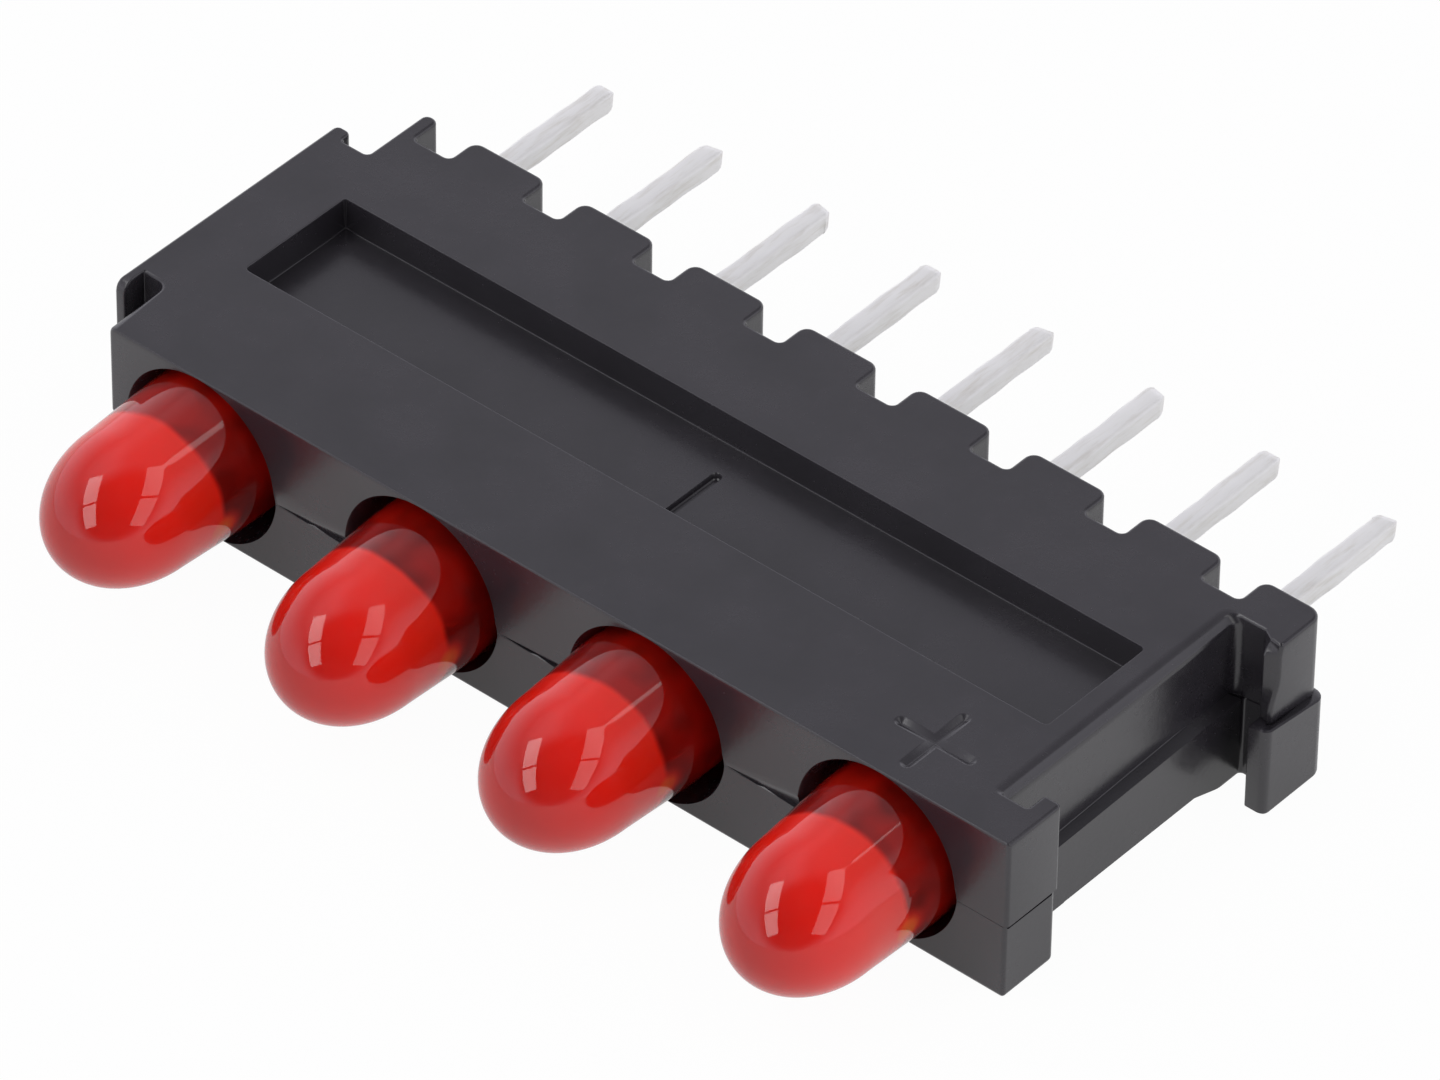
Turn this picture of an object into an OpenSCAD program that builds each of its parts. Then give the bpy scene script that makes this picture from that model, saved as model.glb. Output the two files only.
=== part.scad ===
// Four-way LED indicator for a circuit board: a black moulded housing with four
// round 3 mm LEDs in a row at the front and eight straight leads out of the back.
// Units are millimetres. X runs along the row, -Y is the way the LEDs point,
// +Z is up. The origin is under the middle of the row, at the front face.

/* [Grid] */
// Pitch of the leads along the row; the LEDs stand two pitches apart
lead_pitch = 2.54; // [2.5:0.01:2.6]

/* [Housing] */
// Height of the housing over its feet
body_height = 3.5; // [3.45:0.05:4]
// Depth from the front face to the tips of the rear teeth
body_depth = 8; // [7.8:0.1:9]
// How far the right end of the front bar lies beyond the half pitch of a stack
end_offset = 0.3; // [0.2:0.02:0.4]
// Gap between the front bars of two stacked neighbours
stack_gap = 0.22; // [0.1:0.02:0.3]
// Depth of the front bar at its right end
bar_depth = 1.37; // [1.2:0.01:1.5]
// Height of the shallow space under the body, between its two feet
under_rise = 0.3; // [0.1:0.05:0.5]
// Wall between the foot of the LED bores and that space
under_wall = 0.3; // [0.2:0.05:0.6]

/* [Top pocket] */
// Distance of the pocket from the front face
pocket_front = 2.73; // [2.5:0.01:3]
// Width of the pocket from front to back
pocket_width = 2.5; // [2:0.05:2.8]
// Half the length of the pocket along the row
pocket_half = 9; // [8.5:0.05:9.1]
// Depth of the pocket
pocket_depth = 0.65; // [0.3:0.05:0.9]

/* [Stacking ends] */
// Depth of the upper recess in the right end
recess_depth = 0.84; // [0.8:0.01:0.86]
// How far the lower mould half stands proud in the recess
recess_step = 0.22; // [0.1:0.02:0.24]
// Width of the hooked lip at the rear of the front bar
lip_width = 0.38; // [0.3:0.01:0.4]
// Length of that lip along the depth
lip_length = 0.44; // [0.3:0.02:0.5]
// How far the rear pillar stands out beyond the front bar
pillar_proud = 0.24; // [0.15:0.01:0.26]
// How far the lower mould half of the pillar stands proud
pillar_step = 0.06; // [0.02:0.01:0.1]
// Width of the hooked lip on the pillar
pillar_lip = 0.48; // [0.4:0.01:0.52]
// Length of the hooked lip on the pillar
pillar_hook = 0.4; // [0.3:0.02:0.45]
// Depth of the pillar, with its tooth
pillar_depth = 1; // [0.95:0.01:1.1]
// Radius of the corner between the upper recess and the pillar
recess_fillet = 0.2; // [0.1:0.02:0.3]
// Clearance between hooked pieces of two stacked neighbours
hook_gap = 0.04; // [0.02:0.01:0.06]
// Clearance of the tongue behind the front bar of its neighbour
finger_play = 0.07; // [0.04:0.01:0.1]
// Clearance of a hooked lip over the floor of the slot that takes it
slot_play = 0.14; // [0.1:0.01:0.2]
// Clearance of the tongue in front of the pillar of its neighbour
rear_play = 0.27; // [0.2:0.01:0.3]

/* [Rear teeth] */
// Width of the open slot around each lead
slot_width = 0.84; // [0.75:0.01:0.9]
// Depth of the slots between the teeth
slot_depth = 0.68; // [0.5:0.02:0.7]
// Offset of the slots from the leads, along the row
slot_shift = 0.1; // [0:0.02:0.14]
// Corner radius of the teeth
tooth_round = 0.22; // [0.1:0.01:0.26]

/* [LED] */
// Radius of the lens where it leaves the housing
lens_radius = 1.5; // [1.42:0.01:1.52]
// Radius lost by the draft of the lens up to its dome
lens_draft = 0.08; // [0.02:0.01:0.1]
// Length of the lens in front of the housing, to the start of its dome
lens_straight = 1.62; // [1:0.02:2]
// Length of the dome
dome_length = 1.88; // [1.4:0.02:2.2]
// Radius added by the collar at the foot of the lens
collar_step = 0.1; // [0.08:0.01:0.11]
// Length of the collar
collar_length = 0.8; // [0.7:0.05:1]
// Radial clearance between the collar and its bore
bore_clear = 0.04; // [0.02:0.01:0.06]
// Depth of the bore that takes the foot of the lens
bore_depth = 2; // [1.8:0.05:2.2]

/* [Leads] */
// Side of the square leads
lead_side = 0.45; // [0.4:0.01:0.46]
// Clearance on each side of a lead in the housing
lead_clear = 0.1; // [0.05:0.01:0.14]
// Length of the leads behind the rear teeth
lead_length = 4.2; // [3:0.1:6]

/* [Lead heads] */
// Thickness of the stamped lead heads inside the lens
head_thick = 0.4; // [0.3:0.02:0.4]
// How far the heads reach beside the LED axis
head_reach = 1.3; // [1.25:0.01:1.36]
// Depth of the cross bar of a head behind the front face
head_depth = 0.95; // [0.85:0.05:1]
// Length of the cross bar of a head
head_bar = 0.65; // [0.6:0.01:0.7]
// Length over which a lead runs into its cross bar
head_lap = 0.15; // [0.1:0.01:0.2]
// Distance of the post from the LED axis
post_x = 0.95; // [0.9:0.01:1]
// Width of the post that takes the bond wire
post_width = 0.4; // [0.3:0.02:0.5]
// How far the stem of the cup reaches to the cathode side
stem_outer = 0.75; // [0.6:0.01:0.8]
// How far the stem of the cup reaches to the anode side
stem_inner = 0.3; // [0.2:0.01:0.35]
// Radius of the reflector cup
cup_radius = 0.48; // [0.46:0.01:0.5]
// Length of the reflector cup
cup_length = 0.4; // [0.38:0.01:0.45]
// Distance of the cup's rim in front of the housing
cup_front = 0.35; // [0.3:0.01:0.36]
// Radius of the reflector at its rim
cup_mouth = 0.4; // [0.36:0.01:0.42]
// Radius of the reflector at its floor
cup_base = 0.22; // [0.2:0.01:0.25]
// Depth of the reflector
cup_depth = 0.25; // [0.2:0.01:0.3]

/* [Die] */
// Side of the square die
chip_side = 0.26; // [0.2:0.01:0.3]
// Height of the die
chip_height = 0.22; // [0.15:0.01:0.25]
// Diameter of the bond wire
wire_diameter = 0.05; // [0.03:0.01:0.06]

/* [Marks] */
// Length of each stroke of the plus sign
mark_length = 1.4; // [1:0.1:1.6]
// Length of the single stroke in the pocket
dash_length = 1.75; // [1:0.05:1.9]
// Offset of both marks from the LED grid, along the row
mark_shift = 0.25; // [0:0.05:0.3]
// Distance of the plus sign from the front face
plus_depth = 1.2; // [1:0.05:1.4]
// Width of the engraved strokes
mark_width = 0.17; // [0.1:0.01:0.25]
// Depth of the engraved strokes
mark_depth = 0.08; // [0.04:0.01:0.15]

/* [Hidden] */
$fn = 48;
eps = 0.05;
mid = body_height / 2;
stack_pitch = 8 * lead_pitch;
led_pitch = 2 * lead_pitch;

// Ends of the front bar
front_right = stack_pitch / 2 + end_offset;
front_left = front_right - stack_pitch + stack_gap;

// Right end
wall_upper = front_right - recess_depth;
wall_lower = wall_upper + recess_step;
lip_in = front_right - lip_width;
bar_inner = bar_depth - lip_length;
pillar_upper = front_right + pillar_proud;
pillar_lower = pillar_upper + pillar_step;
pillar_lip_in = pillar_upper - pillar_lip;
pillar_front = body_depth - pillar_depth;
pillar_hook_y = pillar_front - pillar_hook;

// Left end, which hooks into the right end of a neighbour
tongue_left = wall_lower - stack_pitch + hook_gap;
finger_in = lip_in - stack_pitch - hook_gap;
finger_front = bar_inner + finger_play;
slot_floor = bar_depth + slot_play;
rear_finger_in = pillar_lip_in - stack_pitch - hook_gap;
rear_finger_end = pillar_front - rear_play;
rear_slot_floor = pillar_hook_y - slot_play;
end_tooth_left = pillar_lower - stack_pitch + hook_gap;

// Rear teeth
tooth_root = body_depth - slot_depth;
first_lead = -3.5 * lead_pitch;

// LED
bore_radius = lens_radius + collar_step + bore_clear;
collar_radius = lens_radius + collar_step;
dome_radius = lens_radius - lens_draft;
hole_side = lead_side + 2 * lead_clear;
lead_tip = body_depth + lead_length;
dome_steps = 14;

// Lead heads; depths count from the front face
bar_end = head_depth + head_bar;
lead_start = bar_end - head_lap;
cup_rim = -cup_front;
cup_end = cup_rim + cup_length;
cup_floor = cup_rim + cup_depth;
chip_top = cup_floor - chip_height;

// Place of LED i, counted from 1 at the left
function led_x(i) = (i - 2.5) * led_pitch;

// A box between two corners
module box(low, high) {
    translate(low)
        cube(high - low);
}

// A piece drawn around +Z, turned so that +Z points along +Y on the LED axis
module on_axis(i) {
    translate([led_x(i), 0, mid])
        rotate([-90, 0, 0])
            children();
}

// One rear tooth in plan, with rounded rear corners
module tooth_plan(x0, x1) {
    r = min(tooth_round, (x1 - x0) / 2 - 0.01);
    translate([x0, tooth_root - eps])
        square([x1 - x0, slot_depth + eps - r]);
    translate([x0 + r, tooth_root - eps])
        square([x1 - x0 - 2 * r, slot_depth + eps]);
    translate([x0 + r, body_depth - r])
        circle(r);
    translate([x1 - r, body_depth - r])
        circle(r);
}

// Plan of one mould half
module half_plan(wall, pillar) {
    polygon([
        [front_left, 0],
        [front_right, 0],
        [front_right, bar_depth],
        [lip_in, bar_depth],
        [lip_in, bar_inner],
        [wall, bar_inner],
        [wall, pillar_front],
        [pillar_lip_in, pillar_front],
        [pillar_lip_in, pillar_hook_y],
        [pillar, pillar_hook_y],
        [pillar, tooth_root],
        [end_tooth_left, tooth_root],
        [end_tooth_left, rear_slot_floor],
        [rear_finger_in, rear_slot_floor],
        [rear_finger_in, rear_finger_end],
        [tongue_left, rear_finger_end],
        [tongue_left, finger_front],
        [finger_in, finger_front],
        [finger_in, slot_floor],
        [front_left, slot_floor]
    ]);
    slot0 = first_lead + slot_shift;
    tooth_plan(end_tooth_left, slot0 - slot_width / 2);
    for (k = [0:6]) {
        tooth_plan(slot0 + k * lead_pitch + slot_width / 2, slot0 + (k + 1) * lead_pitch - slot_width / 2);
    }
    tooth_plan(slot0 + 7 * lead_pitch + slot_width / 2, pillar);
}

// Rounded inner corner between the upper recess wall and the pillar
module recess_corner() {
    translate([wall_upper - eps, pillar_front - recess_fillet, mid])
        linear_extrude(body_height - mid)
            difference() {
                square([recess_fillet + eps, recess_fillet + eps]);
                translate([recess_fillet + eps, 0])
                    circle(recess_fillet);
            }
}

// Lead-in slope on the front of the pillar's upper half
module pillar_slope() {
    translate([pillar_lip_in - eps, 0, 0])
        rotate([90, 0, 90])
            linear_extrude(pillar_lip + 2 * eps)
                polygon([
                    [pillar_hook_y, mid],
                    [pillar_front, body_height + eps],
                    [pillar_hook_y - eps, body_height + eps],
                    [pillar_hook_y - eps, mid]
                ]);
}

// Engraved plus sign at the right end of the front ledge
module plus_mark() {
    translate([led_x(4) + mark_shift, plus_depth, body_height - mark_depth])
        linear_extrude(mark_depth + eps) {
            square([mark_length, mark_width], center = true);
            square([mark_width, mark_length], center = true);
        }
}

// Single engraved stroke in the floor of the pocket
module pocket_mark() {
    translate([mark_shift - mark_width / 2, pocket_front, body_height - pocket_depth - mark_depth])
        cube([mark_width, dash_length, mark_depth + eps]);
}

// Bore and lead holes for one LED
module led_space(i) {
    on_axis(i)
        translate([0, 0, -eps])
            cylinder(r = bore_radius, h = bore_depth + eps);
    for (s = [-1, 1]) {
        x = led_x(i) + s * lead_pitch / 2;
        box(
            [x - hole_side / 2, bore_depth - eps, mid - hole_side / 2],
            [x + hole_side / 2, tooth_root + eps, mid + hole_side / 2]
        );
    }
}

module housing() {
    color([0.09, 0.09, 0.1])
        difference() {
            union() {
                linear_extrude(mid)
                    half_plan(wall_lower, pillar_lower);
                translate([0, 0, mid])
                    linear_extrude(body_height - mid)
                        half_plan(wall_upper, pillar_upper);
                recess_corner();
            }
            box(
                [-pocket_half, pocket_front, body_height - pocket_depth],
                [pocket_half, pocket_front + pocket_width, body_height + eps]
            );
            box(
                [tongue_left - eps, bore_depth + under_wall, -eps],
                [pillar_lower + eps, rear_slot_floor, under_rise]
            );
            pillar_slope();
            plus_mark();
            pocket_mark();
            for (i = [1:4]) {
                led_space(i);
            }
        }
}

// Cast body of one LED before its inner pieces are set into it
module lens_body(i) {
    on_axis(i)
        rotate_extrude()
            polygon(concat(
                [
                    [0, bore_depth],
                    [collar_radius, bore_depth],
                    [collar_radius, bore_depth - collar_length],
                    [lens_radius, bore_depth - collar_length],
                    [lens_radius, 0]
                ],
                [
                    for (k = [0:dome_steps - 1])
                        [
                            dome_radius * cos(90 * k / dome_steps),
                            -lens_straight - dome_length * sin(90 * k / dome_steps)
                        ]
                ],
                [[0, -lens_straight - dome_length]]
            ));
}

module led_lens(i) {
    color([0.8, 0.06, 0.05])
        difference() {
            lens_body(i);
            anode_shape(i);
            cathode_shape(i);
            chip_shape(i);
            wire_shape(i);
        }
}

// Square wire behind a lead head
module lead_wire(x) {
    h = lead_side / 2;
    box([x - h, lead_start, mid - h], [x + h, lead_tip, mid + h]);
}

// Lead that carries the bond wire on a post
module anode_shape(i) {
    x = led_x(i);
    h = head_thick / 2;
    post_in = x + post_x - post_width / 2;
    lead_wire(x + lead_pitch / 2);
    box([post_in, chip_top, mid - h], [post_in + post_width, bar_end, mid + h]);
    box([post_in, head_depth, mid - h], [x + head_reach, bar_end, mid + h]);
}

// Lead that carries the die in a reflector cup
module cathode_shape(i) {
    x = led_x(i);
    h = head_thick / 2;
    lead_wire(x - lead_pitch / 2);
    box([x - head_reach, head_depth, mid - h], [x + stem_inner, bar_end, mid + h]);
    box([x - stem_outer, cup_end - eps, mid - h], [x + stem_inner, head_depth + eps, mid + h]);
    difference() {
        on_axis(i)
            translate([0, 0, cup_rim])
                cylinder(r = cup_radius, h = cup_length);
        on_axis(i)
            translate([0, 0, cup_rim])
                cylinder(r1 = cup_mouth, r2 = cup_base, h = cup_depth);
    }
}

module chip_shape(i) {
    x = led_x(i);
    box(
        [x - chip_side / 2, chip_top, mid - chip_side / 2],
        [x + chip_side / 2, cup_floor, mid + chip_side / 2]
    );
}

// Arched wire from the top of the die to the top of the post
module wire_shape(i) {
    translate([led_x(i) + post_x / 2, chip_top, mid])
        rotate([0, 0, 180])
            rotate_extrude(angle = 180)
                translate([post_x / 2, 0])
                    circle(d = wire_diameter);
}

module anode_lead(i) {
    color([0.82, 0.82, 0.8])
        anode_shape(i);
}

module cathode_lead(i) {
    color([0.82, 0.82, 0.8])
        cathode_shape(i);
}

module led_chip(i) {
    color([0.35, 0.3, 0.3])
        chip_shape(i);
}

module bond_wire(i) {
    color([0.9, 0.75, 0.3])
        wire_shape(i);
}

module led_lens_1() led_lens(1);
module led_lens_2() led_lens(2);
module led_lens_3() led_lens(3);
module led_lens_4() led_lens(4);
module anode_lead_1() anode_lead(1);
module anode_lead_2() anode_lead(2);
module anode_lead_3() anode_lead(3);
module anode_lead_4() anode_lead(4);
module cathode_lead_1() cathode_lead(1);
module cathode_lead_2() cathode_lead(2);
module cathode_lead_3() cathode_lead(3);
module cathode_lead_4() cathode_lead(4);
module led_chip_1() led_chip(1);
module led_chip_2() led_chip(2);
module led_chip_3() led_chip(3);
module led_chip_4() led_chip(4);
module bond_wire_1() bond_wire(1);
module bond_wire_2() bond_wire(2);
module bond_wire_3() bond_wire(3);
module bond_wire_4() bond_wire(4);

housing();
led_lens_1();
led_lens_2();
led_lens_3();
led_lens_4();
anode_lead_1();
anode_lead_2();
anode_lead_3();
anode_lead_4();
cathode_lead_1();
cathode_lead_2();
cathode_lead_3();
cathode_lead_4();
led_chip_1();
led_chip_2();
led_chip_3();
led_chip_4();
bond_wire_1();
bond_wire_2();
bond_wire_3();
bond_wire_4();
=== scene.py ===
"""Looks of a four-way LED indicator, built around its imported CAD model.

Sizes are in millimetres, in the CAD frame: X along the row, -Y the way the LEDs point, +Z up.
Meshes are made in millimetres and scaled to metres by MM. The lamps' sizes are in metres.
"""

import math
from collections import namedtuple

import bmesh
import bpy
from mathutils import Matrix, Vector


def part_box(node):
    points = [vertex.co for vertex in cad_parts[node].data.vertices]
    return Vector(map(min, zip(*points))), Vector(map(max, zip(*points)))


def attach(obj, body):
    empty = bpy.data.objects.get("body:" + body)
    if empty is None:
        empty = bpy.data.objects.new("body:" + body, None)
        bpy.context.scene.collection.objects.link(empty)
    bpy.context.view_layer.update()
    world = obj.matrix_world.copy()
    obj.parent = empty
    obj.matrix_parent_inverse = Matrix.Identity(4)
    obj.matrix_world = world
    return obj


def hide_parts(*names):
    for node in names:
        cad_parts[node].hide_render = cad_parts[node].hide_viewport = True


MM = 0.001

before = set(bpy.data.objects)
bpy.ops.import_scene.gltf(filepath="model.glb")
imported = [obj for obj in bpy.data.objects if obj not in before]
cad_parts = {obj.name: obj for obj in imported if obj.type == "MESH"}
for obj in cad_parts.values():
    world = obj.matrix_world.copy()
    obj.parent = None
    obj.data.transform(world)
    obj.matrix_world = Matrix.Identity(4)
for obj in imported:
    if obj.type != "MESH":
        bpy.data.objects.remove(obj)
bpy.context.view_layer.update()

# Driving sizes
LEAD_PITCH = 2.54
LED_COUNT = 4
LEAD_COUNT = 2 * LED_COUNT
BODY_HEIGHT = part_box("housing")[1].z / MM
BODY_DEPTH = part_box("housing")[1].y / MM
MID = BODY_HEIGHT / 2
STACK_PITCH = LEAD_COUNT * LEAD_PITCH
LED_PITCH = 2 * LEAD_PITCH
LED_X = [(i - (LED_COUNT - 1) / 2) * LED_PITCH for i in range(LED_COUNT)]

# Front bar, with the lip at its right end
END_OFFSET = 0.3
LEFT_GAP = 0.13
BAR_DEPTH = 1.37
LIP_LENGTH = 0.44
LIP_WIDTH = 0.38
FRONT_RIGHT = STACK_PITCH / 2 + END_OFFSET
FRONT_LEFT = FRONT_RIGHT - STACK_PITCH + LEFT_GAP
BAR_INNER = BAR_DEPTH - LIP_LENGTH
LIP_IN = FRONT_RIGHT - LIP_WIDTH
# How far the lower half stands back from the upper one at the right and at the front
LOWER_STEP = 0.05
FRONT_STEP = 0.02

# Recess at the right end
RECESS_DEPTH = 0.84
RECESS_STEP = 0.22
WALL_UPPER = FRONT_RIGHT - RECESS_DEPTH
WALL_LOWER = WALL_UPPER + RECESS_STEP

# Rear pillar at the right end, with its hooked lip
PILLAR_PROUD = 0.24
PILLAR_STEP = 0.06
PILLAR_EXTRA = 0.1
PILLAR_LIP = 0.48
PILLAR_LIP_STEP = 0.17
PILLAR_DEPTH = 1.0
HOOK_LENGTH = 0.4
LOWER_HOOK_LENGTH = 0.25
PILLAR_UPPER = FRONT_RIGHT + PILLAR_PROUD
PILLAR_LOWER = PILLAR_UPPER + PILLAR_STEP
PILLAR_LIP_IN = PILLAR_UPPER - PILLAR_LIP
PILLAR_FRONT = BODY_DEPTH - PILLAR_DEPTH
PILLAR_HOOK = PILLAR_FRONT - HOOK_LENGTH
LOWER_HOOK = PILLAR_HOOK - LOWER_HOOK_LENGTH
# The upper lip leans back and its nose shortens, between these shares of the upper half's height
HOOK_LEAN = 0.24
HOOK_LEAN_SHARES = (0.2, 0.6)
NOSE_LENGTH = 0.31
NOSE_WIDTH = 0.27
NOSE_FADE = 0.6
NOSE_FADE_SHARES = (0.85, 0.97)
LOWER_NOSE_STEP = 0.05
PILLAR_FOOT_SHARE = 1.7

# Tongue with hooked fingers at the left end
HOOK_GAP = 0.04
TONGUE_REACH = 0.03
FINGER_PLAY = 0.07
SLOT_PLAY = 0.14
REAR_PLAY = 0.27
TONGUE_LEFT = WALL_LOWER - STACK_PITCH - TONGUE_REACH
FINGER_IN = LIP_IN - STACK_PITCH - HOOK_GAP
FINGER_FRONT = BAR_INNER + FINGER_PLAY
SLOT_FLOOR = BAR_DEPTH + SLOT_PLAY
REAR_FINGER_IN = PILLAR_LIP_IN - STACK_PITCH - HOOK_GAP
REAR_FINGER_END = PILLAR_FRONT - REAR_PLAY
REAR_SLOT_FLOOR = PILLAR_HOOK - SLOT_PLAY
END_TOOTH_LEFT = PILLAR_LOWER - STACK_PITCH + HOOK_GAP

# Rear teeth
SLOT_WIDTH = 0.84
SLOT_DEPTH = 0.68
SLOT_SHIFT = 0.1
TOOTH_ROOT = BODY_DEPTH - SLOT_DEPTH
FIRST_SLOT = -(LEAD_COUNT - 1) / 2 * LEAD_PITCH + SLOT_SHIFT

# Corner radii in plan
FINE_ROUND = 0.05
SMALL_ROUND = 0.08
FRONT_ROUND = 0.1
NOSE_ROUND = 0.04
PILLAR_ROUND = 0.28
TOOTH_ROUND = 0.22
SLOT_ROUND = 0.12
REAR_SLOT_ROUND = 0.1
REAR_FINGER_ROUND = 0.12
FINGER_CORNER = 0.07
SLOT_CORNER = 0.02
BAR_LEFT_ROUND = 0.25
CORNER_STEPS = 6
CORNER_LEAST = 0.004
CORNER_ROOM = 0.46

# Edge radii of the moulding; a share scales the radius along one edge of the outline
TOP_EDGE = 0.07
FOOT_EDGE = 0.12
EDGE_STEPS = 5
FRONT_EDGE_SHARE = 0.35
FINGER_EDGE_SHARE = 0.4
REAR_FINGER_SHARE = 0.8
WALL_EDGE_SHARE = 2.8
WALL_ROUND_START = 0.1
WALL_ROUND_HEIGHT = 0.18
WALL_ROUND_MIDDLE = 0.3
WALL_FILLET = 0.02
LEFT_ROUND = 0.15
TONGUE_ROUND_SHARE = 0.5
FINGER_ROUND = 0.27
TOP_ROUND_LIMIT = 0.97
# Shares of the upper half's height at which its outline is drawn
UPPER_SHARES = (0.2, 0.3, 0.4, 0.5, 0.6, 0.85)

# Parting line: a fine groove that drops along the front bar and climbs in the recess and on the rear lip
PARTING_HALF = 0.02
PARTING_FLOOR = 0.004
PARTING_DEPTH = 0.025
PARTING_DROP = 0.12
DROP_FADE = 0.8
LEDGE_RISE = 0.2
LEDGE_START = 0.02
LEDGE_FULL = 0.4
WALL_BLEND = 0.06
PILLAR_RISE = 0.2
LEDGE_SINK = 0.08
# Distances from the pillar's right side and from its rear over which the ledge there begins and ends
LEDGE_SIDE = (0.12, 0.06)
LEDGE_REAR = (0.5, 0.3)
# The gap between the halves on the front bar's right end, and where it begins and ends
END_GAP = 0.08
END_GAP_SHARE = 4
END_GAP_INSIDE = 0.1
END_GAP_FRONT = (0.05, 0.12)
END_GAP_REAR = (0.15, 0.05)

# Pocket
POCKET_HALF = 9.0
POCKET_FRONT = 2.73
POCKET_WIDTH = 2.56
POCKET_DEPTH = 0.65
POCKET_FLOOR = BODY_HEIGHT - POCKET_DEPTH
POCKET_ROUND = 0.07
POCKET_RIM = 0.06
POCKET_FLOOR_ROUND = 0.06
POCKET_SLOPE = 0.04
# Shares of the rim's radius along the front, right, rear and left edge
POCKET_RIM_SHARES = (0.8, 0.6, 0.3, 0.4)

# Bores, lead holes and the space under the body
BORE_RADIUS = 1.7
BORE_FOOT_RADIUS = 1.76
BORE_BLEND = 0.1
BORE_WEB = 0.05
BORE_RIM = 0.015
BORE_TAPER = 0.1
BORE_TAPER_END = 0.4
BORE_DEPTH = 2.0
HOLE_SIDE = 0.65
HOLE_LAP = 0.2
UNDER_WALL = 0.3
UNDER_START = BORE_DEPTH + UNDER_WALL
UNDER_RISE = 0.3
UNDER_SLOPE = 0.12
UNDER_RAMP = 0.7
UNDER_LIP = 0.03
RELIEF_SIDE = 0.1
RELIEF_FRONT = 0.08
RELIEF_LAP = 0.2
RELIEF_SINK = 0.01
# How far the cutters stand out of the body in front and above, below, and at its sides
CUT_OVER = 0.3
CUT_BELOW = 0.5
CUT_SIDE = 1
CUT_EDGE = 0.03

# Slivers along the parting line between the LEDs
WEDGE_START = 1.84
WEDGE_STOP = 1.2
WEDGE_TIP_SHARE = 0.03
WEDGE_START_DROP = 0.08
WEDGE_SINK = 0.07
WEDGE_END_DROP = PARTING_DROP + WEDGE_SINK
WEDGE_DEPTH = 0.15
WEDGE_OUTSIDE = 0.1
WEDGE_RISES = [0.34, 0.24, 0.42]

# Polarity marks
MARK_SHIFT = 0.25
PLUS_PLACE = 1.2
PLUS_LENGTH = 1.75
PLUS_WIDTH = 0.28
PLUS_DEPTH = 0.075
DASH_START = 0.3
DASH_END = 1.75
DASH_WIDTH = 0.22
DASH_DEPTH = 0.12
STROKE_STEPS = 8
# Cross-sections of strokes as (level, share of the width); levels below 0 are shares of the depth
V_STROKE = ((0.06, 1.4), (0.0, 1.0), (-0.12, 0.82), (-0.88, 0.2), (-1.0, 0.04))
U_STROKE = ((0.06, 1.0), (0.0, 1.0), (-0.1, 0.9), (-0.85, 0.72), (-1.0, 0.5))

# LED lenses
LENS_RADIUS = 1.5
DOME_RADIUS = 1.42
LENS_STRAIGHT = 1.62
DOME_LENGTH = 1.88
COLLAR_RADIUS = 1.53
COLLAR_LENGTH = 0.8
COLLAR_EDGE = 0.06
COLLAR_FRONT_EDGE = 0.04
COLLAR_CORNER = 0.03
COLLAR_FILLET = 0.01
LENS_CLEAR = 0.01
LENS_FOOT = BORE_DEPTH - LENS_CLEAR
LENS_TIP_RADIUS = 0.01
LENS_SEGMENTS = 96
STRAIGHT_STEPS = 9
DOME_STEPS = 28
# How each LED sits in its bore: shift along X and Z, lean per millimetre towards its tip
LENS_SEATS = [
    (0.0, 0.065, -0.004, -0.003),
    (0.03, -0.11, 0.03, 0.022),
    (-0.134, -0.043, 0.0, 0.0),
    (0.055, -0.067, 0.018, -0.004),
]

# Lead wires
LEAD_SIDE = 0.45
LEAD_EDGE = 0.09
LEAD_START = 1.45
LEAD_LENGTH = 4.2
LEAD_TIP = BODY_DEPTH + LEAD_LENGTH
LEAD_RINGS = 24
LEAD_CORNER_STEPS = 4
LEAD_WAVE = 0.012
WAVE_MEAN = 1.2
WAVE_FADE = 0.5
# Waves along the wire as (radians per millimetre, shift from wire to wire)
WAVES = ((2.9, 1.7), (6.7, 2.3))
TIP_LENGTH = 0.3
TIP_BACK = 0.04
TIP_SKEW = 0.25
TIP_TURN = 2.1
TIP_TILT = 0.1
# Rounded tip as (distance from the end, inset)
TIP_ROUND = ((0.2, 0.01), (0.12, 0.03), (0.06, 0.06), (0.02, 0.1), (0.0, 0.15))

# Stamped heads of the leads, inside the lens
HEAD_HALF = 0.2
HEAD_EDGE = 0.04
HEAD_REACH = 1.3
HEAD_FRONT = 0.95
HEAD_END = 1.6
POST_IN = 0.75
POST_OUT = 1.15
POST_FRONT = -0.32
STEM_OUT = -0.75
STEM_IN = 0.3
STEM_END = 1.0
# Inner shapes of a head are a little thinner and shorter, so that no two faces lie in one plane
LAP_HALF = 0.195
LAP_POST_IN = 0.78
LAP_END = 1.59
LAP_STEM_IN = 0.28
# Reflector cup as (y, r), from the middle of its back round to the middle of its floor
CUP_PROFILE = (
    (0.05, 0.01),
    (0.05, 0.48),
    (-0.33, 0.48),
    (-0.35, 0.46),
    (-0.35, 0.42),
    (-0.33, 0.395),
    (-0.1, 0.22),
    (-0.1, 0.01),
)
CUP_SEGMENTS = 48

# Small boxes with rounded edges
BOX_END_SHARE = 0.9
BOX_END_STEPS = 3
BOX_CORNER_STEPS = 4

# Smooth shading: edges sharper than these angles stay sharp
MOULDED_ANGLE = 32
LED_ANGLE = 40
FLAT_WEIGHT = 100

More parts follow.
